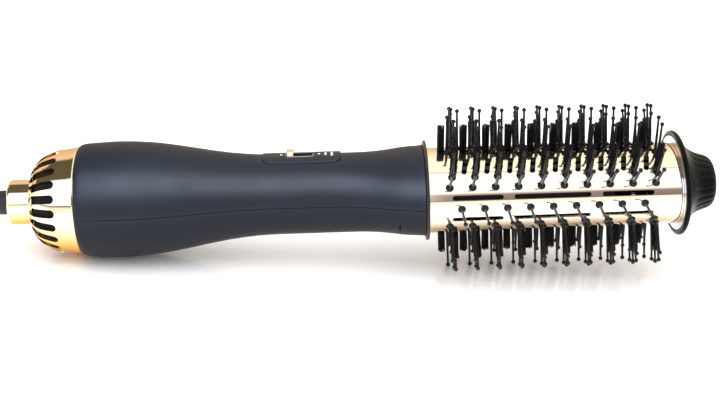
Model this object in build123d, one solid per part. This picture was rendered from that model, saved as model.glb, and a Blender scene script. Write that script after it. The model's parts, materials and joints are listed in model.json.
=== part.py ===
from build123d import *
import math
import os

# Hot air brush, millimetres. +X runs along the tool towards the cool tip, +Z
# points out of the slide switch. The pieces are drawn with X = 0 where the
# perforated barrel leaves the flange of the handle, and saved with the origin
# at the centre of the flat end of the cool tip, which lies on the tool axis.

# --------------------------------------------------------- shared dimensions
BARREL_HALF_WIDTH, BARREL_HALF_HEIGHT = 28.5, 20.5  # outside, at X = 0
BARREL_LENGTH = 122.5
BARREL_WALL = 0.8
BARREL_TAPER = 0.65                                 # degrees, all round
NOSE_RADIUS = 16.0                                  # the oval's narrow ends

TIP_END = 142.9                                     # flat end of the cool tip
SCREW_SPOTS = [(y, z) for y in (-21.4, 21.4) for z in (5.6, -5.6)]
TIE_ROD_Y = (-22.3, 22.3)

SWITCH_X0, SWITCH_X1, SWITCH_WIDTH = -81.5, -42.5, 15.0
SWITCH_CORNER = 4.0
SWITCH_GAP = 0.15                                   # panel to handle, all round

os.makedirs("parts", exist_ok=True)


def save(name, *shapes):
    """Write one piece, moved to the frame with its origin at the tip."""
    solids = []
    for shape in shapes:
        solids.extend(shape.moved(Location((-TIP_END, 0, 0))).solids())
    if len(solids) == 1:
        piece = solids[0]
    else:
        piece = Compound(children=[Solid(solid.wrapped) for solid in solids])
    piece.label = name
    export_step(piece, "parts/" + name + ".step")


# ------------------------------------------------------------------- helpers
def cross_plane(x, y=0.0, z=0.0):
    """Plane across the tool, facing +X."""
    return Plane(origin=(x, y, z), x_dir=(0, 1, 0), z_dir=(1, 0, 0))


def rod(x0, x1, radius, y=0.0, z=0.0):
    return Part() + extrude(cross_plane(x0, y, z) * Circle(radius), x1 - x0)


def tube(x0, x1, radius, bore_radius):
    return rod(x0, x1, radius) - rod(x0 - 1, x1 + 1, bore_radius)


def oval_prism(x0, x1, half_width, half_height):
    return extrude(cross_plane(x0) * Ellipse(half_width, half_height), x1 - x0)


def oval_loft(stations):
    return loft([cross_plane(x) * Ellipse(width, height) for x, width, height in stations])


def block(x0, x1, y0, y1, z0, z1):
    centre = Pos((x0 + x1) / 2, (y0 + y1) / 2, (z0 + z1) / 2)
    return centre * Box(x1 - x0, y1 - y0, z1 - z0)


def rounded_block(x0, x1, width, z0, z1, corner):
    """Block centred on Y = 0 with its upright edges rounded."""
    outline = Pos((x0 + x1) / 2, 0, z0) * RectangleRounded(x1 - x0, width, corner)
    return extrude(outline, z1 - z0)


def in_xz(points):
    return [(x, 0, z) for x, z in points]


def turned(points, axis=Axis.X):
    """Solid of revolution from corners in the XZ plane."""
    return revolve(make_face(Polyline(*in_xz(points), close=True)), axis)


def around(count, shape, phase=0.0):
    """Copies of a shape spaced evenly about the tool axis; phase is in steps."""
    return [Rot(360 / count * (i + phase), 0, 0) * shape for i in range(count)]


def offset_line(points, distance):
    """Points of a smooth (x, radius) line moved along its left normal."""
    moved = []
    for i, (x, radius) in enumerate(points):
        x0, r0 = points[max(i - 1, 0)]
        x1, r1 = points[min(i + 1, len(points) - 1)]
        length = math.hypot(x1 - x0, r1 - r0)
        moved.append((x - distance * (r1 - r0) / length, radius + distance * (x1 - x0) / length))
    return moved


def edges_above(shape, z):
    return [edge for edge in shape.edges() if edge.center().Z > z]


def fillet_if_possible(shape, edges, radius):
    """Round the edges; guards against the fillet failing, then leaves them sharp."""
    try:
        return fillet(edges, radius)
    except Exception:
        return shape


# --------------------------------------------------------------- barrel form
# The barrel's oval is four tangent arcs: two narrow noses and two broad sides.
TAPER_SLOPE = math.tan(math.radians(BARREL_TAPER))
BROAD_RADIUS = (
    (BARREL_HALF_HEIGHT ** 2 + BARREL_HALF_WIDTH ** 2 - 2 * BARREL_HALF_WIDTH * NOSE_RADIUS)
    / (2 * (BARREL_HALF_HEIGHT - NOSE_RADIUS)))
BROAD_CENTRE = BROAD_RADIUS - BARREL_HALF_HEIGHT    # arc centres from the axis
NOSE_CENTRE = BARREL_HALF_WIDTH - NOSE_RADIUS
JOIN_ANGLE = math.atan2(BROAD_CENTRE, NOSE_CENTRE)  # where the arcs meet


def barrel_oval(inset):
    """Face inside the barrel's outer oval at X = 0."""
    nose, broad = NOSE_RADIUS - inset, BROAD_RADIUS - inset

    def nose_point(side, angle):
        return (side * NOSE_CENTRE + nose * math.cos(angle), nose * math.sin(angle))

    right = [nose_point(1, angle) for angle in (-JOIN_ANGLE, 0, JOIN_ANGLE)]
    left = [nose_point(-1, math.pi + angle) for angle in (-JOIN_ANGLE, 0, JOIN_ANGLE)]
    top, bottom = (0, broad - BROAD_CENTRE), (0, -(broad - BROAD_CENTRE))
    return make_face([
        ThreePointArc(*right),
        ThreePointArc(right[2], top, left[0]),
        ThreePointArc(*left),
        ThreePointArc(left[2], bottom, right[0]),
    ])


def barrel_form(x0, x1, inset):
    """The barrel's tapered oval between two stations, inset by a wall."""
    face = barrel_oval(inset + x0 * TAPER_SLOPE).faces()[0]
    solid = Solid.extrude_taper(face, Vector(0, 0, x1 - x0), BARREL_TAPER)
    return cross_plane(x0).location * Part(solid.wrapped)


def surface_plane(ring_angle, x):
    """Plane on the barrel's outside at a ring angle (0 = narrow end at -Y,
    90 = top) and station x: its x_dir follows the barrel towards the tip and
    its z_dir is the outward normal."""
    ring = math.radians(ring_angle)
    facing = math.atan2(math.sin(ring) / BARREL_HALF_HEIGHT, math.cos(ring) / BARREL_HALF_WIDTH)
    cos_f, sin_f = math.cos(facing), math.sin(facing)
    from_nose = abs(facing) if abs(facing) <= math.pi / 2 else math.pi - abs(facing)
    if from_nose < JOIN_ANGLE:
        across = math.copysign(NOSE_CENTRE, cos_f) + NOSE_RADIUS * cos_f
        up = NOSE_RADIUS * sin_f
    else:
        across = BROAD_RADIUS * cos_f
        up = -math.copysign(BROAD_CENTRE, sin_f) + BROAD_RADIUS * sin_f
    out_y, out_z = -cos_f, sin_f
    taper = math.radians(BARREL_TAPER)
    cos_t, sin_t = math.cos(taper), math.sin(taper)
    shrink = x * TAPER_SLOPE
    return Plane(
        origin=(x, -across - shrink * out_y, up - shrink * out_z),
        x_dir=(cos_t, -sin_t * out_y, -sin_t * out_z),
        z_dir=(sin_t, cos_t * out_y, cos_t * out_z))


# -------------------------------------------------------------- hole pattern
PIN_PITCH = 11.05
PIN_X0 = 9.7                        # first pin column
SLOT_X0 = 15.3                      # first slot column, between pin columns
PIN_ROWS = [30, 45, 67, 76, 83, 97, 104, 113, 135, 150]     # ring angles
TUFT_ROWS = [57, 90, 123]
NOSE_COLUMNS = [SLOT_X0 + k * PIN_PITCH for k in range(9)]

# ring angle, shift of the pattern in X
SLANT = [
    (0, SLOT_X0 - PIN_X0), (30, 0.0), (46, 1.5), (59, 2.8),
    (70, 3.4), (76, 2.8), (83, 0.0), (90, -2.75),
]


def slant(ring_angle):
    """Shift in X of the hole pattern; turns over about the top at 90."""
    if ring_angle > 90:
        return 2 * SLANT[-1][1] - slant(180 - ring_angle)
    for (angle0, shift0), (angle1, shift1) in zip(SLANT, SLANT[1:]):
        if ring_angle <= angle1:
            return shift0 + (shift1 - shift0) * (ring_angle - angle0) / (angle1 - angle0)


def columns(ring_angle, first=PIN_X0, x_min=6.9, x_max=114.6):
    """Stations of one row of the pattern that fall between the limits."""
    stations = [first + k * PIN_PITCH + slant(ring_angle) for k in range(-2, 13)]
    return [x for x in stations if x_min <= x <= x_max]


# -------------------------------------------------------------- barrel shell
PIN_HOLE_RADIUS = 1.97
TUFT_HOLE_RADIUS = 1.95
LONG_SLOT_ANGLES = (14.9, -14.9, 165.1, -165.1)
LONG_SLOT_SPANS = ((10.9, 35.5), (40.7, 77.7), (83.2, 108.2))
LONG_SLOT_WIDTH = 2.3
# slots across the barrel: ring angle that sets the columns, limits of the
# columns in X, ring angle and X shift of each end, width
CROSS_SLOTS = [
    (58, (9.5, 112.0), (47.5, -1.1), (69, 0.6), 2.6),
    (122, (9.5, 112.0), (111, -0.6), (132.5, 1.1), 2.6),
    (90, (13.0, 108.0), (75.5, 6.2), (104.5, -6.2), 2.3),
]


def round_hole_tools():
    pin_hole = Pos(0, 0, -2.0) * Cylinder(PIN_HOLE_RADIUS, 6)
    tuft_hole = Pos(0, 0, -2.0) * Cylinder(TUFT_HOLE_RADIUS, 6)
    tools = [surface_plane(t, x).location * pin_hole for t in (0, 180) for x in NOSE_COLUMNS]
    for side in (1, -1):
        for rows, hole in ((PIN_ROWS, pin_hole), (TUFT_ROWS, tuft_hole)):
            tools += [surface_plane(side * t, x).location * hole for t in rows for x in columns(t)]
    return tools


def slot_tool(plane, length, width):
    return plane.location * (Pos(0, 0, -3.5) * extrude(SlotOverall(length, width), 6))


def cross_slot(angle0, x0, angle1, x1, width):
    """Slot across the barrel between two (ring angle, station) points."""
    middle = surface_plane((angle0 + angle1) / 2, (x0 + x1) / 2)
    span = surface_plane(angle1, x1).origin - surface_plane(angle0, x0).origin
    normal = middle.z_dir
    along = span - normal * span.dot(normal)
    plane = Plane(origin=middle.origin, x_dir=along.normalized(), z_dir=normal)
    return slot_tool(plane, span.length, width)


def slot_tools():
    tools = []
    for angle in LONG_SLOT_ANGLES:
        for x0, x1 in LONG_SLOT_SPANS:
            plane = surface_plane(angle, (x0 + x1) / 2)
            tools.append(slot_tool(plane, x1 - x0, LONG_SLOT_WIDTH))
    for side in (1, -1):
        for angle, limits, (angle0, shift0), (angle1, shift1), width in CROSS_SLOTS:
            for x in columns(angle, SLOT_X0, *limits):
                tools.append(cross_slot(side * angle0, x + shift0, side * angle1, x + shift1, width))
    return tools


barrel = barrel_form(0.0, BARREL_LENGTH, 0.0) - barrel_form(0.0, BARREL_LENGTH, BARREL_WALL)
save("barrel_shell", barrel - (round_hole_tools() + slot_tools()))

# ------------------------------------------------------- pin and tuft rails
RAIL_X0, RAIL_X1 = 5.2, 118.4
RAIL_DEPTH = 1.0                    # rail top, below the barrel's outside
RAIL_THICKNESS, RAIL_WIDTH = 1.6, 2.5
PIN_OUT = 20.0                      # pins stand this far out of the barrel
PIN_BALL_RADIUS = 1.05
FOOT_RADIUS = 1.85                  # domed foot of a pin
FOOT_NECK_RADIUS = 1.05             # below the foot, sunk in the rail
TUFT_RADIUS = 1.85
TUFT_OUT = 13.5


def pin_form():
    """Tapered pin with a ball end and a domed foot, standing on +Z."""
    neck_z, foot_z = -RAIL_DEPTH - 0.6, -0.86
    stem_top = PIN_OUT - 1.5 * PIN_BALL_RADIUS
    stem = turned([
        (0, neck_z), (FOOT_NECK_RADIUS, neck_z), (FOOT_NECK_RADIUS, foot_z),
        (FOOT_RADIUS, foot_z), (FOOT_RADIUS, 0.35), (FOOT_RADIUS - 0.2, 0.75),
        (FOOT_RADIUS - 0.75, 1.1), (0.86, 1.3), (0.74, 1.9), (0.52, stem_top), (0, stem_top),
    ], Axis.Z)
    return stem + Pos(0, 0, PIN_OUT - PIN_BALL_RADIUS) * Sphere(PIN_BALL_RADIUS)


def rail(ring_angle, stations, foot):
    """Bar under the barrel's surface with a foot at each station."""
    middle = (RAIL_X0 + RAIL_X1) / 2
    taper_cos = math.cos(math.radians(BARREL_TAPER))
    bar = Box((RAIL_X1 - RAIL_X0) / taper_cos, RAIL_WIDTH, RAIL_THICKNESS)
    bar = Pos(0, 0, -RAIL_DEPTH - RAIL_THICKNESS / 2) * bar
    feet = [Pos((x - middle) / taper_cos, 0, 0) * foot for x in stations]
    return surface_plane(ring_angle, middle).location * (Part() + bar + feet)


pin = pin_form()
save("nose_pin_rails", *[rail(t, NOSE_COLUMNS, pin) for t in (0, 180)])
save("upper_pin_rails", *[rail(t, columns(t), pin) for t in PIN_ROWS])
save("lower_pin_rails", *[rail(-t, columns(t), pin) for t in PIN_ROWS])

# tuft rails: a socket under each tuft, the filaments stand in it
tuft_socket = Pos(0, 0, -1.23) * Cylinder(FOOT_NECK_RADIUS, 0.76)
tuft_socket = tuft_socket + Pos(0, 0, -0.66) * Cylinder(TUFT_RADIUS, 0.4)
tuft = Pos(0, 0, -0.4 + TUFT_OUT / 2) * Cylinder(TUFT_RADIUS - 0.1, TUFT_OUT)
tuft_rails, tufts = [], []
for side in (1, -1):
    for t in TUFT_ROWS:
        tuft_rails.append(rail(side * t, columns(t), tuft_socket))
        tufts += [surface_plane(side * t, x).location * tuft for x in columns(t)]
save("tuft_rails", *tuft_rails)
save("bristle_tufts", *tufts)

# -------------------------------------------------------------- handle shell
SPLIT_GAP = 0.15                    # half of the groove between the two shells
HANDLE_WALL = 2.4
# X, half width (Y), half height (Z)
HANDLE = [
    (-171.8, 27.1, 27.1), (-170.4, 27.9, 27.9), (-168.0, 28.3, 28.3), (-161.5, 28.65, 28.65),
    (-154.5, 28.9, 28.9), (-147.5, 28.8, 28.8), (-140.5, 28.4, 28.4), (-133.5, 27.7, 27.7),
    (-126.5, 26.7, 26.7), (-119.5, 25.5, 25.5), (-112.5, 24.2, 24.2), (-105.5, 22.95, 22.95),
    (-98.5, 21.85, 21.85), (-91.5, 21.0, 21.0), (-84.5, 20.4, 20.4), (-77.5, 20.1, 20.1),
    (-70.0, 20.02, 20.02), (-60.0, 20.0, 20.0), (-49.5, 20.1, 19.95), (-42.0, 20.5, 19.85),
    (-35.5, 21.2, 19.75), (-28.5, 22.6, 19.75), (-21.5, 24.8, 20.05), (-15.5, 26.8, 20.65),
    (-9.5, 28.2, 21.2), (-1.9, 29.5, 21.65),
]
# the cavity leaves a thicker wall at the rear, where the cap enters
CAVITY = [
    (-174.0, 25.1, 25.1), (-170.4, 25.3, 25.3), (-166.0, 25.9, 25.9),
    *[(x, width - HANDLE_WALL, height - HANDLE_WALL) for x, width, height in HANDLE[3:]],
    (0.5, 27.5, 19.7),
]


def handle_form():
    handle = oval_loft(HANDLE) - oval_loft(CAVITY)
    # bosses for the four screws that hold the barrel socket
    core = oval_loft([(x, width - 0.4, height - 0.4) for x, width, height in HANDLE])
    handle = handle + [rod(-15.0, -4.1, 3.2, y, z) & core for y, z in SCREW_SPOTS]
    handle = handle - [rod(-13.5, -3.0, 1.3, y, z) for y, z in SCREW_SPOTS]
    # latch windows low on both sides of the neck
    window = Box(0.8, 9.0, 2.2)
    return handle - [Pos(-14.5, s * 23.5, -10.6) * Rot(s * 30, 0, 0) * window for s in (1, -1)]


handle = handle_form()
switch_pocket = rounded_block(
    SWITCH_X0 - SWITCH_GAP, SWITCH_X1 + SWITCH_GAP, SWITCH_WIDTH + 2 * SWITCH_GAP,
    10, 40, SWITCH_CORNER + SWITCH_GAP)
upper_half = handle & block(-220, 10, -60, 60, SPLIT_GAP, 60)
save("upper_handle_shell", upper_half - switch_pocket)
save("lower_handle_shell", handle & block(-220, 10, -60, 60, -60, -SPLIT_GAP))

flange = oval_prism(-1.5, 0, 32.0, 23.75)
flange = fillet_if_possible(flange, flange.edges(), 0.55)
flange = flange - oval_prism(-3, 1, 27.6, 19.6)
save("flange_ring", Pos(-0.06, 0, 0) * flange)


# ------------------------------------------------------------- barrel socket
def barrel_socket():
    """Plate on the screw bosses, a step, and a lip inside the barrel."""
    bore = oval_prism(-2, 5, 25.4, 17.4)
    socket = oval_prism(-3.9, -1.4, 26.5, 18.7) - oval_prism(-4, 0, 19.0, 13.0)
    socket = socket + (oval_prism(-1.5, 0.0, 27.3, 19.3) - bore)
    socket = socket + (barrel_form(0.0, 4.5, BARREL_WALL + 0.2) - bore)
    screw_holes = [rod(-5, 1, 1.5, y, z) for y, z in SCREW_SPOTS]
    return socket - screw_holes - [rod(-5, 1, 1.0, y, 0) for y in TIE_ROD_Y]


def socket_screw():
    """Pan-head screw along -X, its head's seat at X = 0, with a cross recess."""
    head_radius, head_height = 2.0, 1.5
    screw = rod(0, head_height, head_radius) + rod(-10.5, 0.01, 1.22)
    cross = Box(1.2, head_radius * 1.1, 0.5) + Box(1.2, 0.5, head_radius * 1.1)
    return screw - Pos(head_height, 0, 0) * cross


save("barrel_socket", barrel_socket())
screw = socket_screw()
save("socket_screws", *[Pos(-1.38, y, z) * screw for y, z in SCREW_SPOTS])

# ------------------------------------------------------------------ rear cap
CAP_FRONT, COLLAR_END = -172.2, -208.3
CAP_WALL = 1.6
COLLAR_RADIUS, COLLAR_EDGE = 11.2, 2.0
CORD_BORE_RADIUS = 6.18
SWIVEL_X, SWIVEL_RADIUS = -204.4, 9.6       # end and radius of the collar's recess
SPIGOT_X, SPIGOT_RADIUS = -168.2, 24.9      # part of the cap inside the handle
VENT_COUNT, VENT_WIDTH = 22, 4.2
VENT_X0, VENT_X1 = -195.8, -181.4
# outside of the dome: X, radius
DOME = [
    (-183.0, 25.5), (-187.6, 23.85), (-190.2, 22.5), (-192.0, 21.1),
    (-194.1, 18.75), (-195.7, 16.1), (-196.6, 13.4),
]


def rear_cap():
    dome_inside = offset_line(DOME, CAP_WALL)
    dome_inside[-1] = (-195.0, dome_inside[-1][1])
    collar_start = (-197.1, 0, COLLAR_RADIUS)
    edge_start = (COLLAR_END + COLLAR_EDGE, 0, COLLAR_RADIUS)
    edge_end = (COLLAR_END, 0, COLLAR_RADIUS - COLLAR_EDGE)
    cap = revolve(make_face([
        Polyline(*in_xz([(CAP_FRONT, 26.55), (CAP_FRONT - 0.5, 26.8), DOME[0]])),
        Spline(*in_xz(DOME)),
        Line(*in_xz(DOME[-1:]), collar_start),
        Line(collar_start, edge_start),
        ThreePointArc(edge_start, (COLLAR_END + 0.59, 0, COLLAR_RADIUS - 0.59), edge_end),
        Polyline(edge_end, *in_xz([
            (COLLAR_END, CORD_BORE_RADIUS), (SWIVEL_X, CORD_BORE_RADIUS),
            (SWIVEL_X, SWIVEL_RADIUS), (-194.9, SWIVEL_RADIUS), dome_inside[-1]])),
        Spline(*in_xz(reversed(dome_inside))),
        Polyline(*in_xz([
            dome_inside[0], (-176.0, 23.4), (SPIGOT_X, 23.4), (SPIGOT_X, SPIGOT_RADIUS),
            (CAP_FRONT, SPIGOT_RADIUS), (CAP_FRONT, 26.55)])),
    ]), Axis.X)
    vent = extrude(SlotOverall(VENT_X1 - VENT_X0, VENT_WIDTH), 18)
    vent = Pos((VENT_X0 + VENT_X1) / 2, 0, 14) * vent
    return cap - around(VENT_COUNT, vent, phase=0.13)


def inlet_mesh():
    """Thin dome just inside the cap's dome."""
    line = [(-179.6, 25.35)] + DOME
    outside = in_xz(offset_line(line, CAP_WALL + 0.45)[:-1])
    inside = in_xz(offset_line(line, CAP_WALL + 1.0)[:-1])
    return revolve(make_face([
        Spline(*outside),
        Line(outside[-1], inside[-1]),
        Spline(*reversed(inside)),
        Line(inside[0], outside[0]),
    ]), Axis.X)


save("rear_vent_cap", rear_cap())
save("inlet_mesh", inlet_mesh())

# ---------------------------------------------------------------------- cord
BOOT_RADIUS, BOOT_END_RADIUS = 6.1, 4.5
BOOT_TAPER_X0, BOOT_TAPER_X1 = -212.0, -252.0
BOOT_BORE_RADIUS = 3.25


def cord_boot():
    """Swivelling boot: its flange is trapped between collar and retainer."""
    boot = turned([
        (-202.3, BOOT_BORE_RADIUS), (-202.3, 8.9), (-204.3, 8.9), (-204.3, BOOT_RADIUS),
        (BOOT_TAPER_X0, BOOT_RADIUS), (BOOT_TAPER_X1, BOOT_END_RADIUS),
        (-252.8, 4.0), (-252.8, BOOT_BORE_RADIUS),
    ])
    slope = (BOOT_END_RADIUS - BOOT_RADIUS) / (BOOT_TAPER_X0 - BOOT_TAPER_X1)
    grooves = []
    for i in range(9):
        x = -216.5 - 4.0 * i
        floor_radius = BOOT_RADIUS + slope * (BOOT_TAPER_X0 - x) - 0.95
        # two bridges are left in each groove, by turns across Z and across Y
        half_y, half_z = (1.1, 9) if i % 2 else (9, 1.1)
        bridges = block(x - 2, x + 2, -half_y, half_y, -half_z, half_z)
        grooves.append(tube(x - 0.9, x + 0.9, 8, floor_radius) - bridges)
    return boot - grooves


save("cord_boot", cord_boot())
# the boot is moulded onto the cord and squeezes its sheath a little
save("power_cord", rod(-292.0, -253.0, 3.4) + rod(-253.0, -199.0, 3.2))
save("cord_retainer", tube(-201.9, -199.9, 9.5, 4.6))

# -------------------------------------------------------------- slide switch
KNOB_X0, KNOB_LENGTH = -69.33, 3.9          # rear face in the off position
BOARD_SCREW_X = (-82.2, -43.0)
BOARD_Z0, BOARD_Z1 = 6.6, 8.0

panel = tube(SWITCH_X0, SWITCH_X1, 20.75, 18.7)
panel = panel & rounded_block(SWITCH_X0, SWITCH_X1, SWITCH_WIDTH, 5, 40, SWITCH_CORNER)
panel = fillet_if_possible(panel, edges_above(panel, 19.2), 0.35)
save("switch_panel", panel - rounded_block(-69.5, -56.25, 5.4, 5, 40, 1.3))

knob = rounded_block(KNOB_X0, KNOB_X0 + KNOB_LENGTH, 5.0, 18.05, 22.9, 0.9)
save("switch_knob", fillet_if_possible(knob, edges_above(knob, 22.8), 0.5))

slider = block(-78.9, -55.9, -4.0, 4.0, 16.9, 18.0)
save("switch_slider", slider + block(-70.0, -64.0, -1.4, 1.4, 13.0, 17.0))

switch_body = block(-80.0, -46.0, -5.5, 5.5, 8.1, 16.8)
save("slide_switch_body", switch_body - block(-70.4, -54.4, -1.8, 1.8, 12.4, 18))

board = block(-84.0, -41.0, -8.5, 8.5, BOARD_Z0, BOARD_Z1)
board_hole = Cylinder(1.2, 4)
board_z = (BOARD_Z0 + BOARD_Z1) / 2
save("switch_board", board - [Pos(x, 0, board_z) * board_hole for x in BOARD_SCREW_X])

# screws up through the board, with a cross recess under the head
board_screw = Pos(0, 0, -0.6) * Cylinder(2.0, 1.2) + Pos(0, 0, 1.9) * Cylinder(1.0, 4.0)
board_screw = board_screw - Pos(0, 0, -1.1) * (Box(2.4, 0.5, 0.8) + Box(0.5, 2.4, 0.8))
save("board_screws", *[Pos(x, 0, BOARD_Z0 - 0.05) * board_screw for x in BOARD_SCREW_X])

capacitor = block(-72.0, -58.0, -4.0, 4.0, 0.6, 6.5)
save("suppression_capacitor", fillet(capacitor.edges().filter_by(Axis.Z), 1.0))


# -------------------------------------------------------------------- blower
def fan_duct():
    """Outer duct joined to a hub by seven vanes."""
    duct = tube(-164.0, -134.0, 22.6, 21.4) + tube(-151.2, -136.0, 15.3, 14.1)
    vane = Pos(-143.0, 0, 18.4) * Rot(0, 0, 14) * Box(13.0, 1.2, 7.4)
    vane_zone = tube(-150, -136, 22.0, 14.8)
    return duct + [copy & vane_zone for copy in around(7, vane)]


def impeller():
    wheel = turned([
        (-153.0, ROTOR_BORE_RADIUS), (-153.0, 12.0), (-161.5, 12.0), (-163.0, 10.6),
        (-163.8, 6.0), (-164.0, 3.0), (-164.0, ROTOR_BORE_RADIUS),
    ])
    blade = Pos(-158.0, 0, 16.0) * Rot(0, 0, 38) * Box(14.0, 1.1, 11.0)
    blade_zone = tube(-163.0, -153.3, 20.9, 11.0)
    for copy in around(9, blade):
        wheel = wheel + (copy & blade_zone)
    return wheel


ROTOR_BORE_RADIUS = 1.17                    # impeller and armature on the shaft
save("fan_duct", fan_duct())
mount_ring = tube(-160.0, -155.0, 26.05, 22.75)
save("mount_ring", mount_ring - block(-162, -153, -4, 4, -40, 0))
save("impeller", impeller())

# --------------------------------------------------------------------- motor
CAN_RADIUS = 13.95
MAGNET_RADIUS = 12.85
BUSH_RADIUS = 3.0
BUSH_SEAT_RADIUS = BUSH_RADIUS + 0.02


def motor_can():
    can = rod(-150.0, -120.6, CAN_RADIUS) - rod(-148.8, -120, CAN_RADIUS - 1.0)
    can = can - rod(-151, -148, BUSH_SEAT_RADIUS)
    slot = Pos(-149.4, 0, 9.0) * Rot(0, 90, 0) * extrude(SlotOverall(5.0, 2.6), 3, both=True)
    return can - around(6, slot)


def motor_end_cap():
    cap = rod(-120.5, -117.4, CAN_RADIUS) + rod(-123.0, -120.4, MAGNET_RADIUS)
    return cap - rod(-124, -121.8, 11.4) - rod(-125, -116, BUSH_SEAT_RADIUS)


save("motor_shaft", rod(-164.5, -116.0, 1.15))
save("motor_can", motor_can())
save("motor_end_cap", motor_end_cap())
save("motor_bushes", *[
    tube(x0, x1, BUSH_RADIUS, 1.2) for x0, x1 in ((-151.0, -147.2), (-121.0, -117.0))])

magnet_ring = tube(-146.5, -124.0, MAGNET_RADIUS, 10.4)
save("motor_magnets", *[
    magnet_ring & block(-150, -120, -20, 20, z0, z1) for z0, z1 in ((3.5, 20), (-20, -3.5))])

armature = tube(-145.5, -125.5, 9.8, ROTOR_BORE_RADIUS)
armature = armature - around(3, block(-150, -120, -1.1, 1.1, 7.2, 12))
armature = armature - around(3, block(-150, -120, -3.2, 3.2, 4.4, 7.2))
save("motor_armature", armature)

save("rectifier_board", tube(-115.2, -114.0, 12.0, 2.0))
save("rectifier_diodes", *around(4, block(-113.95, -111.6, -2.6, 2.6, 5.6, 8.2)))

# --------------------------------------------------------------------- wires
# middle lines of the wire pairs: X, Z
MAINS_LINE = [
    (-198.0, -2.6), (-190.0, -12.5), (-181.0, -18.8), (-172.0, -21.1), (-168.2, -22.1),
    (-164.0, -23.7), (-150.0, -24.4), (-134.0, -23.4), (-118.0, -19.0), (-104.0, -14.0),
    (-92.0, -6.0), (-83.0, 1.0), (-78.0, 5.6),
]
HEATER_LINE = [
    (-50.0, 5.6), (-44.0, 1.5), (-34.0, -2.0), (-24.0, -2.6), (-17.5, -2.0), (-10.0, -1.3),
]


def wire(line, y):
    path = Spline(*[(x, y, z) for x, z in line])
    start = Plane(origin=path @ 0, z_dir=path % 0)
    return sweep(start * Circle(0.75), path=path)


save("mains_wires", *[wire(MAINS_LINE, y) for y in (-1.3, 1.3)])
save("heater_wires", *[wire(HEATER_LINE, y) for y in (-1.6, 1.6)])

# -------------------------------------------------------------------- heater
MICA_X0, MICA_X1 = -2.0, 88.0               # crossed plates, slotted together
COIL_HALF_WIDTH, COIL_HALF_HEIGHT = 18.7, 12.7


def heater_coil(x):
    path = Wire.make_ellipse(COIL_HALF_WIDTH, COIL_HALF_HEIGHT, cross_plane(x))
    start = Plane(origin=(x, COIL_HALF_WIDTH, 0), x_dir=(1, 0, 0), z_dir=(0, 0, 1))
    return sweep(start * Circle(0.38), path=path)


flat_plate = block(MICA_X0, MICA_X1, -18.0, 18.0, -0.4, 0.4)
flat_plate = flat_plate + block(-16.0, -1.9, -9.0, 9.0, -0.4, 0.4)
save("mica_plate_flat", flat_plate - block(43.0, MICA_X1 + 1, -0.5, 0.5, -1, 1))
upright_plate = block(MICA_X0, MICA_X1, -0.4, 0.4, -12.0, 12.0)
save("mica_plate_upright", upright_plate - block(MICA_X0 - 1, 43.2, -1, 1, -0.5, 0.5))
save("heater_coils", *[heater_coil(5.0 + 6.0 * i) for i in range(14)])
save("heater_sleeve", oval_prism(-1.3, 90.0, 20.3, 14.3) - oval_prism(-2, 91, 19.8, 13.8))
save("thermostat", block(-14.5, -4.5, -7.0, -0.6, 0.5, 4.3))
save("thermal_fuse", rod(-15.0, -4.5, 1.3, 5.0, 1.9))


# ------------------------------------------------------------------ cool tip
def tip_plate():
    """Plate closing the barrel, with a spigot inside the barrel's end."""
    plate = oval_prism(122.62, 123.6, 30.4, 22.4)
    plate = plate + barrel_form(119.0, BARREL_LENGTH, BARREL_WALL + 0.15)
    plate = plate + oval_prism(122.3, 122.8, 25.6, 17.6)
    return plate - oval_prism(118, 125, 17.0, 11.0) - [rod(118, 125, 1.45, y, 0) for y in TIE_ROD_Y]


def tie_rod(y):
    """Rod from the socket to the tip plate, with a thin end and a head."""
    shank = rod(4.7, 123.7, 1.35, y, 0) + rod(-5.0, 4.8, 0.95, y, 0)
    return shank + rod(123.62, 124.6, 2.0, y, 0)


# outside of the tip: X, half width (Y), half height (Z)
TIP = [
    (125.0, 32.4, 24.4), (125.9, 29.2, 22.1), (127.0, 26.0, 19.85), (128.8, 22.6, 17.8),
    (131.0, 19.6, 16.0), (133.5, 17.6, 14.6), (136.3, 16.4, 13.7), (139.0, 15.1, 12.55),
    (141.0, 12.9, 10.6), (142.2, 10.2, 8.3), (TIP_END, 7.0, 5.6),
]


def tip_cap():
    rim = oval_prism(122.6, 125.1, 33.0, 25.0)
    rim = fillet_if_possible(rim, rim.edges(), 0.9)
    hollow = [(123.0, 30.6, 22.6), (124.6, 28.6, 20.9)]
    hollow += [(x - 1.6, width - 2.4, height - 2.4) for x, width, height in TIP[2:-1]]
    plate_seat = oval_prism(121, 123.65, 30.6, 22.6)
    return rim + oval_loft(TIP) - oval_loft(hollow) - plate_seat


save("tip_plate", tip_plate())
save("tie_rods", *[tie_rod(y) for y in TIE_ROD_Y])
save("tip_cap", tip_cap())
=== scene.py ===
# A hot-air styling brush with an oval barrel, lying along X: the handle and the rear vent cap
# toward -X, the cool tip at +X. The barrel is wider in Y than in Z, and its tufts stand on the
# upper and lower sides. The camera looks from -Y and above. Scene units are metres; station
# tables are in millimetres, with x counted from ROOT, where the barrel leaves the flange.
import json
import math
import random
import bpy
import bmesh
import numpy as np
from mathutils import Matrix, Vector


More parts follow.
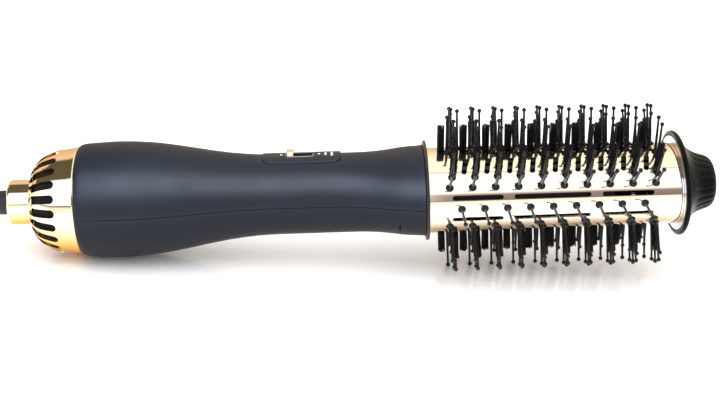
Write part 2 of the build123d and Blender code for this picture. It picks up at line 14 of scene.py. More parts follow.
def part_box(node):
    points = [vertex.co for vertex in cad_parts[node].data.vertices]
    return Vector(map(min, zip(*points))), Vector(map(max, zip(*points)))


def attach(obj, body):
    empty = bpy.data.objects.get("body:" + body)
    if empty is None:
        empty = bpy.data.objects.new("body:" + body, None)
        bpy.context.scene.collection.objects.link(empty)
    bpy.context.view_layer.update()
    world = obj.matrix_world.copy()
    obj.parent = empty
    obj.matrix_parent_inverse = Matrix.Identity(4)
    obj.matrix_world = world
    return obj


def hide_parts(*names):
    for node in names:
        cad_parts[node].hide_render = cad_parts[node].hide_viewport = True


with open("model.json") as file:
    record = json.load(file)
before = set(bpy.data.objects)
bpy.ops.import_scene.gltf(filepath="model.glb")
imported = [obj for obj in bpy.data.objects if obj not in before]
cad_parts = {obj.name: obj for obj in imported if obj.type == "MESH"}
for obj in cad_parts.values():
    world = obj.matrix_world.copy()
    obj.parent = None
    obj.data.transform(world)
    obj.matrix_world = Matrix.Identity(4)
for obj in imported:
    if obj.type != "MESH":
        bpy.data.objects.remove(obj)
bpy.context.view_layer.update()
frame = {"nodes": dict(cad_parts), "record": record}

PIECES = frame["nodes"]
SCENE = bpy.context.scene
MM = 0.001
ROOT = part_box("barrel_shell")[0].x
MATERIALS = {}


# ---------------------------------------------------------------- shader helpers
def new_material(name):
    material = bpy.data.materials.new(name)
    material.use_nodes = True
    tree = material.node_tree
    return material, tree, tree.nodes["Principled BSDF"]


def feed(tree, socket, value):
    """Link an output socket to an input, or set the input to a plain value."""
    if isinstance(value, bpy.types.NodeSocket):
        tree.links.new(value, socket)
    else:
        socket.default_value = value


def noise(tree, scale, detail, rough=0.55, stretch=(1, 1, 1)):
    coords = tree.nodes.new("ShaderNodeTexCoord")
    mapping = tree.nodes.new("ShaderNodeMapping")
    mapping.inputs["Scale"].default_value = stretch
    tree.links.new(coords.outputs["Object"], mapping.inputs["Vector"])
    texture = tree.nodes.new("ShaderNodeTexNoise")
    texture.inputs["Scale"].default_value = scale
    texture.inputs["Detail"].default_value = detail
    texture.inputs["Roughness"].default_value = rough
    tree.links.new(mapping.outputs["Vector"], texture.inputs["Vector"])
    return texture.outputs["Fac"]


def ramp(tree, source, stops):
    """Colour ramp over (position, rgb) stops."""
    node = tree.nodes.new("ShaderNodeValToRGB")
    elements = node.color_ramp.elements
    while len(elements) < len(stops):
        elements.new(0.5)
    for element, (position, colour) in zip(elements, stops):
        element.position = position
        element.color = (*colour, 1.0)
    tree.links.new(source, node.inputs["Fac"])
    return node.outputs["Color"]


def mix(tree, factor, first, second):
    node = tree.nodes.new("ShaderNodeMix")
    node.data_type = "RGBA"
    feed(tree, node.inputs["Factor"], factor)
    feed(tree, node.inputs[6], first)
    feed(tree, node.inputs[7], second)
    return node.outputs[2]


def maths(tree, operation, *values, clamp=False):
    node = tree.nodes.new("ShaderNodeMath")
    node.operation = operation
    node.use_clamp = clamp
    for socket, value in zip(node.inputs, values):
        feed(tree, socket, value)
    return node.outputs[0]


def add_bump(tree, shader, height, strength, depth):
    node = tree.nodes.new("ShaderNodeBump")
    node.inputs["Strength"].default_value = strength
    node.inputs["Distance"].default_value = depth
    tree.links.new(height, node.inputs["Height"])
    tree.links.new(node.outputs["Normal"], shader.inputs["Normal"])


def grey(value):
    return (value, value, value)


# --------------------------------------------------------------------- materials
def finish(name, base, rough, metal=0.0, vary=0.12, rough_vary=0.05, patches=60.0,
           grain=1800.0, bump=0.08, depth=0.00002, stretch=(1, 1, 1), spec=0.5, coat=0.0,
           edge=0.0):
    """Soft colour patches, uneven roughness and surface grain, with lighter worn edges.

    vary and rough_vary are the spreads of colour (relative) and roughness; patches and grain
    are noise scales; stretch scales the grain by axis; edge is the most edge wear.
    """
    material, tree, shader = new_material(name)
    dark = tuple(c * (1 - vary) for c in base)
    light = tuple(min(1.0, c * (1 + vary)) for c in base)
    colour = ramp(tree, noise(tree, patches, detail=5.0, rough=0.6), [(0.3, dark), (0.7, light)])
    if edge > 0:
        geometry = tree.nodes.new("ShaderNodeNewGeometry")
        wear = ramp(tree, geometry.outputs["Pointiness"], [(0.51, grey(0)), (0.58, grey(edge))])
        worn = (*[min(1.0, c * 1.6 + 0.05) for c in base], 1)
        colour = mix(tree, wear, colour, worn)
    tree.links.new(colour, shader.inputs["Base Color"])
    roughness = ramp(tree, noise(tree, patches * 2.3, detail=6.0, rough=0.65),
                     [(0.3, grey(rough - rough_vary)), (0.72, grey(rough + rough_vary))])
    tree.links.new(roughness, shader.inputs["Roughness"])
    height = noise(tree, grain, detail=2.0, rough=0.5, stretch=stretch)
    add_bump(tree, shader, height, bump, depth)
    shader.inputs["Metallic"].default_value = metal
    shader.inputs["Specular IOR Level"].default_value = spec
    shader.inputs["Coat Weight"].default_value = coat
    MATERIALS[name] = material


def woven_wire(name):
    """Blackened woven screen: two crossing sets of wires, with painted shade in the darker gaps
    between them.
    """
    material, tree, shader = new_material(name)
    coords = tree.nodes.new("ShaderNodeTexCoord")
    wires = []
    for axis in ("X", "Y"):
        wave = tree.nodes.new("ShaderNodeTexWave")
        wave.bands_direction = axis
        wave.inputs["Scale"].default_value = 520.0
        tree.links.new(coords.outputs["Object"], wave.inputs["Vector"])
        wires.append(wave.outputs["Fac"])
    height = maths(tree, "MAXIMUM", *wires)
    # Painted shade: the gaps between the wires are ten times darker than the wires.
    colour = ramp(tree, height, [(0.45, grey(0.0008)), (0.85, grey(0.008))])
    tree.links.new(colour, shader.inputs["Base Color"])
    add_bump(tree, shader, height, strength=0.6, depth=0.0002)
    shader.inputs["Roughness"].default_value = 0.5
    shader.inputs["Specular IOR Level"].default_value = 0.12
    MATERIALS[name] = material


def paint_underside_shade(name, shade_tint, start, full, most):
    """Painted shade: darken the plating where it faces down, from start to full (downward part of
    the normal).
    """
    tree = MATERIALS[name].node_tree
    base_input = tree.nodes["Principled BSDF"].inputs["Base Color"]
    colour = base_input.links[0].from_socket
    geometry = tree.nodes.new("ShaderNodeNewGeometry")
    split = tree.nodes.new("ShaderNodeSeparateXYZ")
    tree.links.new(geometry.outputs["Normal"], split.inputs[0])
    shade_amount = tree.nodes.new("ShaderNodeMapRange")
    shade_amount.inputs["From Min"].default_value = -start
    shade_amount.inputs["From Max"].default_value = -full
    shade_amount.inputs["To Min"].default_value = 0.0
    shade_amount.inputs["To Max"].default_value = most
    tree.links.new(split.outputs["Z"], shade_amount.inputs["Value"])
    # painted shade mixed into the base colour by how far the surface faces down
    shaded = mix(tree, shade_amount.outputs["Result"], colour, (*shade_tint, 1))
    tree.links.new(shaded, base_input)


# Dark plastics and rubber
finish("soft_touch", (0.0052, 0.0066, 0.0104), rough=0.42, vary=0.06, patches=22, grain=2600,
       bump=0.22, depth=0.00003, spec=0.2, edge=0.06)
finish("dark_plastic", (0.009, 0.010, 0.012), rough=0.36, patches=40, grain=2400, bump=0.12,
       spec=0.45, edge=0.25)
finish("panel_plastic", (0.0058, 0.0072, 0.0110), rough=0.38, patches=40, grain=3000,
       bump=0.06, spec=0.2, edge=0.05)
finish("pin_black", (0.0035, 0.0035, 0.004), rough=0.2, patches=120, grain=1600, bump=0.05,
       spec=0.34)
finish("bristle", (0.004, 0.004, 0.005), rough=0.4, vary=0.4, patches=900, grain=4000,
       bump=0.05, stretch=(1, 1, 0.1), spec=0.25)
finish("tip_black", (0.0018, 0.0026, 0.0036), rough=0.3, patches=30, grain=2200, bump=0.06,
       spec=0.07)
finish("cord_rubber", (0.014, 0.015, 0.018), rough=0.48, grain=1500, bump=0.15, spec=0.4)
finish("grey_plastic", (0.33, 0.33, 0.32), rough=0.45, patches=50, bump=0.1)

# Plating and bare metal
finish("gold_chrome", (1.0, 0.87, 0.60), rough=0.05, metal=1.0, vary=0.03, rough_vary=0.02,
       patches=35, grain=900, bump=0.02, depth=0.00001)
finish("barrel_gold", (0.99, 0.91, 0.78), rough=0.06, metal=1.0, vary=0.025, rough_vary=0.025,
       patches=28, grain=700, bump=0.03, depth=0.00001, stretch=(0.15, 1, 1))
finish("tip_silver", (0.72, 0.70, 0.68), rough=0.22, metal=1.0, vary=0.05, grain=1500,
       bump=0.1, stretch=(1, 1, 0.2))
finish("steel", (0.56, 0.56, 0.56), rough=0.28, metal=1.0, grain=2200, bump=0.1,
       stretch=(1, 0.1, 0.1))
woven_wire("dark_mesh")
# Painted shade: the barrel's plating turns deep orange where it faces down, standing in for the
# shaded floor it reflects.
paint_underside_shade("barrel_gold", shade_tint=(0.80, 0.46, 0.17), start=0.35, full=0.9, most=0.9)
# Painted shade: the chrome plating turns orange where it faces down, standing in for the shaded
# floor it reflects.
paint_underside_shade("gold_chrome", shade_tint=(0.95, 0.52, 0.05), start=0.05, full=0.75, most=1.0)

# Inner parts
finish("bronze", (0.55, 0.36, 0.16), rough=0.4, metal=1.0, grain=5000, bump=0.2)
finish("ferrite", (0.07, 0.07, 0.075), rough=0.55, grain=3500, bump=0.25)
finish("copper", (0.62, 0.26, 0.11), rough=0.3, metal=1.0, grain=2600, bump=0.4,
       stretch=(0.08, 1, 1))
finish("board", (0.05, 0.2, 0.09), rough=0.3, vary=0.2, patches=240, bump=0.15, coat=0.3)
finish("component_yellow", (0.78, 0.6, 0.1), rough=0.3, coat=0.2)
finish("wire_cover", (0.7, 0.69, 0.66), rough=0.4, grain=1500)
finish("mica", (0.52, 0.44, 0.32), rough=0.4, vary=0.25, patches=90, grain=900, bump=0.3,
       coat=0.2)
finish("nichrome", (0.36, 0.3, 0.27), rough=0.42, metal=1.0, vary=0.3, patches=400)
finish("ceramic_white", (0.8, 0.79, 0.75), rough=0.25, vary=0.05, coat=0.3)
finish("white_mark", (0.82, 0.83, 0.85), rough=0.5, vary=0.04, patches=900, grain=5000,
       bump=0.1)
# Mica darkened almost to black: painted shade for the shadowed inside of the barrel, seen through
# its slots.
finish("mica_painted_shade", (0.02, 0.016, 0.012), rough=0.5, vary=0.35, patches=90, grain=900, bump=0.3)

slot_of = {part["node"]: part["material_slot"] for part in frame["record"]["subparts"]}
for name, piece in PIECES.items():
    piece.data.materials.clear()
    piece.data.materials.append(MATERIALS[slot_of[name]])
# The heater sleeve takes the darkened mica, so the barrel's slots show painted shade.
PIECES["heater_sleeve"].data.materials[0] = MATERIALS["mica_painted_shade"]


# ------------------------------------------------------------------ mesh helpers
def link_object(name, data):
    made = bpy.data.objects.new(name, data)
    SCENE.collection.objects.link(made)
    return made


def add_mesh(name, verts, faces, slot, material=None, smooth=True):
    """Add a mesh that rides on the housing; its material is the slot's unless one is named."""
    mesh = bpy.data.meshes.new(name)
    mesh.from_pydata([tuple(v) for v in verts], [], faces)
    mesh.validate()
    mesh.materials.append(MATERIALS[material or slot])
    if smooth:
        mesh.polygons.foreach_set("use_smooth", [True] * len(mesh.polygons))
    made = link_object(name, mesh)
    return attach(made, "housing")


def face_outward(mesh):
    work = bmesh.new()
    work.from_mesh(mesh)
    bmesh.ops.recalc_face_normals(work, faces=work.faces)
    work.to_mesh(mesh)
    work.free()


def join_rings(first, second, count):
    """Quads between two closed rings of count vertices that start at first and second."""
    quads = []
    for j in range(count):
        k = (j + 1) % count
        quads.append((first + j, first + k, second + k, second + j))
    return quads


def coordinates(mesh):
    points = np.zeros(len(mesh.vertices) * 3)
    mesh.vertices.foreach_get("co", points)
    return points.reshape(-1, 3)


def exact_shading(source_name, name, normal_at):
    """Copy a CAD piece and give its curved skin true normals, so reflections run clean."""
    aligned = 0.93  # least cosine between a facet and the true normal
    mesh = PIECES[source_name].data.copy()
    mesh.name = name
    skin = link_object(name, mesh)
    points = coordinates(mesh)
    corner_vertex = np.zeros(len(mesh.loops), int)
    mesh.loops.foreach_get("vertex_index", corner_vertex)
    normals = np.zeros(len(mesh.loops) * 3)
    mesh.corner_normals.foreach_get("vector", normals)
    normals = normals.reshape(-1, 3)
    for face in mesh.polygons:
        face.use_smooth = True
        facet = face.normal
        for corner in face.loop_indices:
            true = normal_at(points[corner_vertex[corner]])
            if true is None:
                continue
            cosine = sum(a * b for a, b in zip(facet, true))
            if cosine > aligned:
                normals[corner] = true
            elif cosine < -aligned:  # the inside of the wall
                normals[corner] = [-c for c in true]
    mesh.normals_split_custom_set([tuple(v) for v in normals])
    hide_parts(source_name)
    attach(skin, "housing")


# ------------------------------------------------------------------------ barrel
# The section is an oval of four arcs: two tight ones at +-Y and two broad ones at +-Z.
BARREL_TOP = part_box("barrel_shell")[1]
HALF_WIDTH = BARREL_TOP.y
HALF_HEIGHT = BARREL_TOP.z
TIGHT_R = 16.0 * MM
BROAD_R = ((HALF_HEIGHT * HALF_HEIGHT + HALF_WIDTH * HALF_WIDTH - 2 * HALF_WIDTH * TIGHT_R)
           / (2 * (HALF_HEIGHT - TIGHT_R)))
BROAD_OFFSET = BROAD_R - HALF_HEIGHT    # arc centres' distances from the axis
TIGHT_OFFSET = HALF_WIDTH - TIGHT_R
JOIN = math.atan2(BROAD_OFFSET, TIGHT_OFFSET)
TAPER = math.radians(0.65)


def barrel_surface(angle, x):
    """(point, outward normal, direction along) on the outside; 0 is -Y and 90 is +Z."""
    turn = math.radians(angle)
    facing = math.atan2(math.sin(turn) / HALF_HEIGHT, math.cos(turn) / HALF_WIDTH)
    cos_f, sin_f = math.cos(facing), math.sin(facing)
    from_side = min(abs(facing), math.pi - abs(facing))
    if from_side < JOIN:
        across = math.copysign(TIGHT_OFFSET, cos_f) + TIGHT_R * cos_f
        height = TIGHT_R * sin_f
    else:
        across = BROAD_R * cos_f
        height = -math.copysign(BROAD_OFFSET, sin_f) + BROAD_R * sin_f
    cos_t, sin_t = math.cos(TAPER), math.sin(TAPER)
    shrink = x * math.tan(TAPER)
    point = Vector((ROOT + x, -across + shrink * cos_f, height - shrink * sin_f))
    normal = Vector((sin_t, -cos_t * cos_f, cos_t * sin_f))
    along = Vector((cos_t, sin_t * cos_f, -sin_t * sin_f))
    return point, normal, along


def barrel_normal(point):
    y, z = point[1], point[2]
    if abs(y) > TIGHT_OFFSET and abs(z) <= math.tan(JOIN) * (abs(y) - TIGHT_OFFSET) + 1e-9:
        y -= math.copysign(TIGHT_OFFSET, y)
    else:
        z += math.copysign(BROAD_OFFSET, z)
    length = math.hypot(y, z)
    return (math.sin(TAPER), math.cos(TAPER) * y / length, math.cos(TAPER) * z / length)


exact_shading("barrel_shell", "barrel_skin", barrel_normal)

# ---------------------------------------------------------------------- rear cap
# (x, radius) in mm: a cone between the first two, then a rounded dome.
DOME = [(-172.7, 26.8), (-183.0, 25.5), (-187.6, 23.85), (-190.2, 22.5),
        (-192.0, 21.1), (-194.1, 18.75), (-195.7, 16.1), (-196.6, 13.4)]


def dome_slope(i, j):
    return (DOME[j][1] - DOME[i][1]) / (DOME[j][0] - DOME[i][0])


def dome_radius(x):
    x1, r1 = DOME[1]
    if x > x1:
        return r1 + (x - x1) * dome_slope(1, 0)
    i = next(i for i in range(1, len(DOME) - 1) if DOME[i + 1][0] <= x)
    (x1, r1), (x2, r2) = DOME[i], DOME[i + 1]
    slope1 = dome_slope(i - 1, i + 1)
    slope2 = dome_slope(i, min(i + 2, len(DOME) - 1))
    step = x2 - x1
    u = (x - x1) / step
    return ((2 * u ** 3 - 3 * u * u + 1) * r1 + (u ** 3 - 2 * u * u + u) * step * slope1
            + (-2 * u ** 3 + 3 * u * u) * r2 + (u ** 3 - u * u) * step * slope2)


def cap_normal(point):
    """Outward normal on the dome and on the short cylinder behind it, None elsewhere."""
    x, r = (point[0] - ROOT) * 1000, math.hypot(point[1], point[2]) * 1000
    if x > -172.6 or r < 11.0:
        return None
    outward = (point[1] / (r * MM), point[2] / (r * MM))
    if x < -197.0:
        return (0, *outward) if x > -206.4 and r > 11.1 else None
    if r < dome_radius(max(x, -196.5)) - 0.35:  # beneath the outer skin
        return None
    half_step = 0.15
    ahead = dome_radius(min(x + half_step, -172.7))
    behind = dome_radius(max(x - half_step, -196.55))
    slope = (ahead - behind) / (2 * half_step)
    length = math.hypot(1.0, slope)
    return (-slope / length, outward[0] / length, outward[1] / length)


exact_shading("rear_vent_cap", "rear_cap_skin", cap_normal)

# ----------------------------------------------------------------- bristle tufts
# (angle round the barrel in degrees, shift along x in mm) of the slanting tuft columns.
SLANT = [(0, 5.6), (30, 0.0), (46, 1.5), (59, 2.8), (70, 3.4), (76, 2.8), (83, 0.0), (90, -2.75)]
TUFT_ANGLES = (57, 90, 123)
TUFT_FIRST, TUFT_PITCH = 9.7, 11.05
TUFT_RANGE = (6.9, 114.6)
TUFT_R = 1.72
TUFT_LENGTH = 13.3
TUFT_SUNK = 0.8         # how far the filaments start below the surface
FILAMENTS = 64          # in a tuft
FILAMENT_SIDES = 5
FILAMENT_STEPS = 4
GOLDEN_ANGLE = 2.39996


def slant(angle):
    if angle > 90:
        return 2 * SLANT[-1][1] - slant(180 - angle)
    return float(np.interp(angle, *zip(*SLANT)))


def tuft_places(angle):
    places = [TUFT_FIRST + k * TUFT_PITCH + slant(angle) for k in range(-2, 13)]
    return [x for x in places if TUFT_RANGE[0] <= x <= TUFT_RANGE[1]]


def add_filament(verts, faces, k, point, normal, along, side):
    """Filament k of a tuft: it leans outward, bends a little and thins toward its end."""
    r = TUFT_R * math.sqrt((k + 0.5) / FILAMENTS)
    turn = k * GOLDEN_ANGLE + rng.uniform(-0.2, 0.2)
    foot_x, foot_y = r * math.cos(turn), r * math.sin(turn)
    length = TUFT_LENGTH + rng.uniform(-0.55, 0.35) - 0.2 * r
    flare = 1.0 + rng.uniform(0.04, 0.16)
    bend_x, bend_y = rng.uniform(-0.16, 0.16), rng.uniform(-0.16, 0.16)
    thick = rng.uniform(0.15, 0.19)
    base = len(verts)
    for step in range(FILAMENT_STEPS + 1):
        u = step / FILAMENT_STEPS
        rise = -TUFT_SUNK + (length + TUFT_SUNK) * u
        spread = 1.0 + (flare - 1.0) * u
        mid_x = foot_x * spread + bend_x * u * u
        mid_y = foot_y * spread + bend_y * u * u
        radius = thick * (1.0 - 0.35 * u * u)
        for j in range(FILAMENT_SIDES):
            a = 2 * math.pi * j / FILAMENT_SIDES + turn
            verts.append(point + normal * (rise * MM)
                         + along * ((mid_x + radius * math.cos(a)) * MM)
                         + side * ((mid_y + radius * math.sin(a)) * MM))
    top = base + FILAMENT_STEPS * FILAMENT_SIDES
    for ring in range(base, top, FILAMENT_SIDES):
        faces += join_rings(ring, ring + FILAMENT_SIDES, FILAMENT_SIDES)
    faces.append(tuple(base + j for j in reversed(range(FILAMENT_SIDES))))
    faces.append(tuple(top + j for j in range(FILAMENT_SIDES)))


rng = random.Random(7)
verts, faces = [], []
for sign in (1, -1):  # upper side, then lower
    for angle in TUFT_ANGLES:
        for x in tuft_places(angle):
            point, normal, along = barrel_surface(sign * angle, x * MM)
            side = normal.cross(along).normalized()
            for k in range(FILAMENTS):
                add_filament(verts, faces, k, point, normal, along, side)
tufts = add_mesh("bristle_filaments", verts, faces, "bristle")
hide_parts("bristle_tufts")

# ----------------------------------------------------------------------- tip cap
# (x, half-width in Y, half-height in Z) in mm.
TIP_OUTSIDE = [
    (122.6, 31.6, 23.6), (122.75, 32.5, 24.5), (123.3, 33.0, 25.0), (124.3, 32.95, 24.95),
    (124.9, 32.4, 24.4), (125.3, 31.4, 23.6), (125.9, 29.2, 22.1), (127.0, 26.0, 19.85),
    (128.8, 22.6, 17.8), (131.0, 19.6, 16.0), (133.5, 17.6, 14.6), (136.3, 16.3, 13.6),
    (138.6, 15.5, 12.9), (140.3, 14.5, 12.0), (141.4, 13.1, 10.8), (142.1, 11.0, 9.0),
    (142.6, 7.8, 6.4), (142.85, 3.8, 3.1)]
TIP_INSIDE = [
    (122.62, 31.0, 23.0), (123.64, 30.7, 22.7), (124.6, 29.0, 21.4), (126.4, 25.0, 18.9),
    (128.5, 21.0, 16.3), (131.5, 17.2, 13.7), (136.0, 14.2, 11.6), (139.5, 11.0, 9.0),
    (140.6, 6.0, 4.8)]
TIP_RING = 144
FLUTES = 24
FLUTE_DEPTH = 0.032     # as a share of the radius


def smooth_stations(points, per):
    """Catmull-Rom curve through the stations, with per steps between neighbours."""
    curve = []
    for i in range(len(points) - 1):
        near = (points[max(i - 1, 0)], points[i], points[i + 1],
                points[min(i + 2, len(points) - 1)])
        for k in range(per):
            u = k / per
            curve.append(tuple(
                0.5 * (2 * b + (c - a) * u + (2 * a - 5 * b + 4 * c - d) * u * u
                       + (3 * b - a - 3 * c + d) * u ** 3)
                for a, b, c, d in zip(*near)))
    return curve + [points[-1]]


def tip_mesh():
    """One skin from the bottom of the hollow, round the rim and over the fluted outside."""
    inside = smooth_stations(TIP_INSIDE, 3)[::-1]
    rows = inside + smooth_stations(TIP_OUTSIDE, 5)
    verts, faces = [], []
    for i, (x, half_width, half_height) in enumerate(rows):
        fluting = 0.0
        if i >= len(inside):  # fades in and out along x
            fluting = max(0.0, min(1.0, (x - 128.5) / 3.0)) * max(0.0, min(1.0, (142.2 - x) / 2.0))
        for j in range(TIP_RING):
            a = 2 * math.pi * j / TIP_RING
            groove = 0.5 - 0.5 * math.cos(FLUTES * a)
            scale = (1.0 - FLUTE_DEPTH * fluting * groove ** 3) * MM
            verts.append((ROOT + x * MM, half_width * scale * math.cos(a),
                          half_height * scale * math.sin(a)))
    last = (len(rows) - 1) * TIP_RING
    for ring in range(0, last, TIP_RING):
        faces += join_rings(ring, ring + TIP_RING, TIP_RING)
    bottom = len(verts)
    verts.append((ROOT + rows[0][0] * MM, 0, 0))
    verts.append((ROOT + (rows[-1][0] + 0.02) * MM, 0, 0))
    for j in range(TIP_RING):
        faces.append((bottom, (j + 1) % TIP_RING, j))
    for j in range(TIP_RING):
        faces.append((last + j, last + (j + 1) % TIP_RING, bottom + 1))
    return verts, faces


tip = add_mesh("cool_tip", *tip_mesh(), "tip_black")
face_outward(tip.data)
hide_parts("tip_cap")

# ------------------------------------------------------ switch marks and slot rim
PANEL_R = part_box("switch_panel")[1].z
MARKS = [(-71.9, 1), (-53.2, 1), (-50.0, 2), (-46.9, 3)]    # (x in mm, dots side by side in Y)
DOT_PITCH = 1.9
DOT_RINGS = [(-0.005, 0.62), (0.045, 0.60), (0.065, 0.5)]   # (height over panel, radius) in mm
DOT_TOP = 0.07
DOT_SIDES = 20
SLOT_X = (-69.5, -56.25)
SLOT_WIDTH = 5.4
SLOT_CORNER_R = 1.3
BEAD_OFFSET = 0.12      # from the slot's edge to the bead's middle
BEAD_HALF_WIDTH, BEAD_HEIGHT = 0.2, 0.13
BEAD_SIDES = 8


def on_panel(x, y, lift):
    """The point lift above the panel's round top, from mm."""
    y *= MM
    return (ROOT + x * MM, y, math.sqrt((PANEL_R + lift * MM) ** 2 - y * y))


def dots_mesh():
    verts, faces = [], []
    for x, count in MARKS:
        for k in range(count):
            y = (k - (count - 1) / 2) * DOT_PITCH
            base = len(verts)
            for lift, r in DOT_RINGS:
                for j in range(DOT_SIDES):
                    a = 2 * math.pi * j / DOT_SIDES
                    verts.append(on_panel(x + r * math.cos(a), y + r * math.sin(a), lift))
            centre = len(verts)
            verts.append(on_panel(x, y, DOT_TOP))
            top = centre - DOT_SIDES
            for ring in range(base, top, DOT_SIDES):
                faces += join_rings(ring, ring + DOT_SIDES, DOT_SIDES)
            for j in range(DOT_SIDES):
                faces.append((top + j, top + (j + 1) % DOT_SIDES, centre))
            faces.append(tuple(base + j for j in reversed(range(DOT_SIDES))))
    return verts, faces


def slot_rim_mesh():
    """A thin bright bead around the mouth of the knob's slot."""
    x0, x1 = SLOT_X[0] + SLOT_CORNER_R, SLOT_X[1] - SLOT_CORNER_R
    y1 = SLOT_WIDTH / 2 - SLOT_CORNER_R
    r = SLOT_CORNER_R + BEAD_OFFSET
    path = []
    for centre_x, centre_y, start in ((x1, y1, 0), (x0, y1, 90), (x0, -y1, 180), (x1, -y1, 270)):
        for k in range(9):
            a = math.radians(start + 90 * k / 8)
            path.append((centre_x + r * math.cos(a), centre_y + r * math.sin(a)))
    verts, faces = [], []
    for i, (x, y) in enumerate(path):
        before, after = path[i - 1], path[(i + 1) % len(path)]
        step_x, step_y = after[0] - before[0], after[1] - before[1]
        length = math.hypot(step_x, step_y)
        for j in range(BEAD_SIDES):
            a = 2 * math.pi * j / BEAD_SIDES
            out = BEAD_HALF_WIDTH * math.cos(a)
            verts.append(on_panel(x + step_y / length * out, y - step_x / length * out,
                                  BEAD_HEIGHT * math.sin(a)))
    for i in range(len(path)):
        faces += join_rings(i * BEAD_SIDES, (i + 1) % len(path) * BEAD_SIDES, BEAD_SIDES)
    return verts, faces


add_mesh("switch_marks", *dots_mesh(), "ceramic_white", material="white_mark", smooth=False)
face_outward(add_mesh("switch_slot_rim", *slot_rim_mesh(), "tip_silver").data)


# ------------------------------------------------------------------------- floor
def resting_line():
    """The line (x, z, fall per x) under the tool that it rests on, from its lower hull."""
    points = np.concatenate([coordinates(p.data)[:, (0, 2)] for p in PIECES.values()])
    # Only the lowest point in each 0.5 mm of length matters.
    step = np.floor(points[:, 0] * 2000).astype(int)
    order = np.lexsort((points[:, 1], step))
    low = points[order[np.unique(step[order], return_index=True)[1]]]
    hull = []
    for x, z in sorted((float(x), float(z)) for x, z in low):
        while len(hull) > 1:
            (x1, z1), (x2, z2) = hull[-2:]
            if (x2 - x1) * (z - z1) > (z2 - z1) * (x - x1):
                break
            hull.pop()
        hull.append((x, z))
    for (x1, z1), (x2, z2) in zip(hull, hull[1:]):
        if x1 <= ROOT - 0.05 <= x2:
            return x1, z1, (z1 - z2) / (x2 - x1)


def build_floor(half=6.0, gap=0.0001):
    rest_x, rest_z, fall = resting_line()
    mesh = bpy.data.meshes.new("floor")
    corners = ((-half, -half), (half, -half), (half, half), (-half, half))
    mesh.from_pydata([(x, y, rest_z - gap - (x - rest_x) * fall) for x, y in corners],
                     [], [(0, 1, 2, 3)])
    material, tree, shader = new_material("floor_white")
    shader.inputs["Base Color"].default_value = (0.93, 0.925, 0.93, 1)
    roughness = ramp(tree, noise(tree, 3.0, detail=3.0), [(0.3, grey(0.07)), (0.7, grey(0.12))])
    tree.links.new(roughness, shader.inputs["Roughness"])
    shader.inputs["Specular IOR Level"].default_value = 0.8
    mesh.materials.append(material)
    link_object("floor", mesh)


build_floor()

# ------------------------------------------------------------------------- world
# Reflected surroundings as (degrees about X, colour) stops: 0 is toward -Y and 90 is up.
OVERHEAD = [
    (96.5, (1.0, 0.99, 0.97)), (98, (0.25, 0.2, 0.17)), (99.5, (0.98, 0.95, 0.80)),
    (125, (0.95, 0.88, 0.66)), (165, (0.6, 0.48, 0.36))]
RIGHT_STOPS = [
    (-10, (0.86, 0.82, 0.72)), (7.6, (0.88, 0.84, 0.76)), (8.4, (0.14, 0.10, 0.08)),
    (9.4, (0.21, 0.15, 0.14)), (30, (0.27, 0.21, 0.20)), (39, (1.0, 0.99, 0.98)), *OVERHEAD]
MID_STOPS = [
    (-10, (0.80, 0.78, 0.74)), (7.6, (0.82, 0.79, 0.74)), (8.4, (0.12, 0.09, 0.07)),
    (9.4, (0.90, 0.84, 0.80)), (19, (0.97, 0.95, 0.93)), (40, (1, 1, 1)), *OVERHEAD]
LEFT_STOPS = [
    (-10, (0.80, 0.78, 0.74)), (5.0, (0.82, 0.79, 0.74)), (6.4, (0.42, 0.30, 0.22)),
    (7.4, (0.06, 0.045, 0.035)), (9.0, (0.06, 0.045, 0.035)), (9.8, (1.1, 1.15, 1.35)),
    (67, (1.1, 1.2, 1.6)), (71, (0.10, 0.085, 0.06)), (121, (0.085, 0.075, 0.05)),
    (129, (0.80, 0.52, 0.38)), (165, (0.60, 0.42, 0.30))]


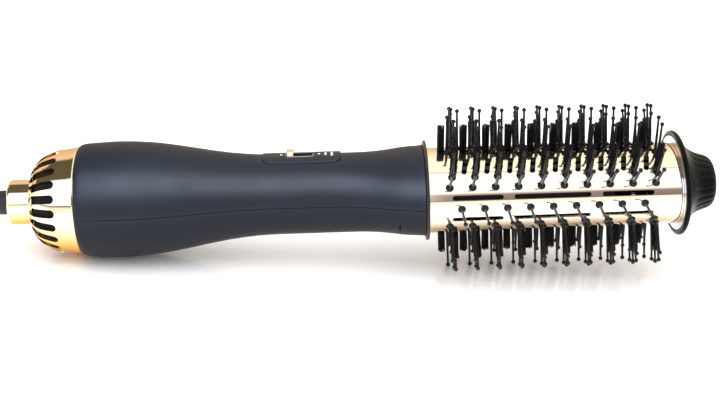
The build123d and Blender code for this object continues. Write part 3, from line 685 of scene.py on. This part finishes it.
def build_world():
    world = bpy.data.worlds.new("studio")
    SCENE.world = world
    world.use_nodes = True
    tree = world.node_tree
    coords = tree.nodes.new("ShaderNodeTexCoord")
    split = tree.nodes.new("ShaderNodeSeparateXYZ")
    tree.links.new(coords.outputs["Generated"], split.inputs[0])
    x, y, z = split.outputs
    angle = maths(tree, "ARCTAN2", z, maths(tree, "MULTIPLY", y, -1.0))
    around = maths(tree, "DIVIDE", maths(tree, "ADD", angle, math.pi), 2 * math.pi)

    def surroundings(stops):
        return ramp(tree, around, [((deg + 180.0) / 360.0, colour) for deg, colour in stops])

    def beyond(value, start, steepness):
        """0 up to start, then rising to 1."""
        past = maths(tree, "SUBTRACT", value, start)
        return maths(tree, "MULTIPLY", past, steepness, clamp=True)

    def flat(*colour):
        node = tree.nodes.new("ShaderNodeRGB")
        node.outputs[0].default_value = (*colour, 1)
        return node.outputs[0]

    right, middle, left = [surroundings(s) for s in (RIGHT_STOPS, MID_STOPS, LEFT_STOPS)]
    colour = mix(tree, beyond(x, 0.045, 25.0), middle, right)
    colour = mix(tree, beyond(maths(tree, "MULTIPLY", x, -1.0), 0.13, 20.0), colour, left)
    ends = beyond(maths(tree, "ABSOLUTE", x), 0.90, 25.0)
    colour = mix(tree, ends, colour, flat(0.96, 0.95, 0.93))
    # The camera sees plain white, and diffuse surfaces get an even fill.
    path = tree.nodes.new("ShaderNodeLightPath")
    colour = mix(tree, path.outputs["Is Camera Ray"], colour, flat(1.0, 1.0, 1.0))
    colour = mix(tree, path.outputs["Is Diffuse Ray"], colour, flat(1.5, 1.5, 1.51))
    background = tree.nodes["Background"]
    tree.links.new(colour, background.inputs["Color"])
    background.inputs["Strength"].default_value = 1.3


build_world()


# ------------------------------------------------------------------------ lights
def area_light(name, size, energy, location, aim, colour=(1.0, 1.0, 1.0)):
    light = bpy.data.lights.new(name, "AREA")
    light.shape = "RECTANGLE"
    light.size, light.size_y = size
    light.energy = energy
    light.color = colour
    lamp = link_object(name, light)
    lamp.location = location
    lamp.rotation_euler = (Vector(aim) - lamp.location).to_track_quat("-Z", "Y").to_euler()
    return lamp


key = area_light("key", size=(1.6, 0.9), energy=7.0,
                 location=(ROOT - 0.1, -0.55, 1.25), aim=(ROOT, 0, 0))
key.visible_glossy = False

# A cool light that falls only on the handle.
strip = area_light("side_strip", size=(0.8, 0.62), energy=18.0, colour=(0.72, 0.83, 1.0),
                   location=(ROOT - 0.12, -0.55, 0.63), aim=(ROOT - 0.12, 0, 0))
receivers = bpy.data.collections.new("strip_receivers")
for name in ("upper_handle_shell", "lower_handle_shell", "switch_panel"):
    receivers.objects.link(PIECES[name])
strip.light_linking.receiver_collection = receivers


# ------------------------------------------------------------------------ camera
def build_camera(elevation, roll, distance, aim_x, aim_drop):
    camera = bpy.data.cameras.new("camera")
    camera.lens = 70.0
    camera.sensor_width = 36.0
    camera.clip_start = 0.01
    camera.clip_end = 50.0
    forward = Vector((0, math.cos(elevation), -math.sin(elevation)))
    level_up = Vector((0, math.sin(elevation), math.cos(elevation)))
    level_right = Vector((1, 0, 0))
    right = level_right * math.cos(roll) - level_up * math.sin(roll)
    up = level_up * math.cos(roll) + level_right * math.sin(roll)
    pose = Matrix((right, up, -forward)).transposed().to_4x4()
    pose.translation = Vector((aim_x, 0, 0)) - up * aim_drop - forward * distance
    SCENE.camera = link_object("camera", camera)
    SCENE.camera.matrix_world = pose


build_camera(elevation=math.radians(21.3), roll=math.radians(1.75), distance=0.700,
             aim_x=ROOT - 0.0335, aim_drop=0.0054)
SCENE.view_settings.view_transform = "Standard"
SCENE.view_settings.look = "None"
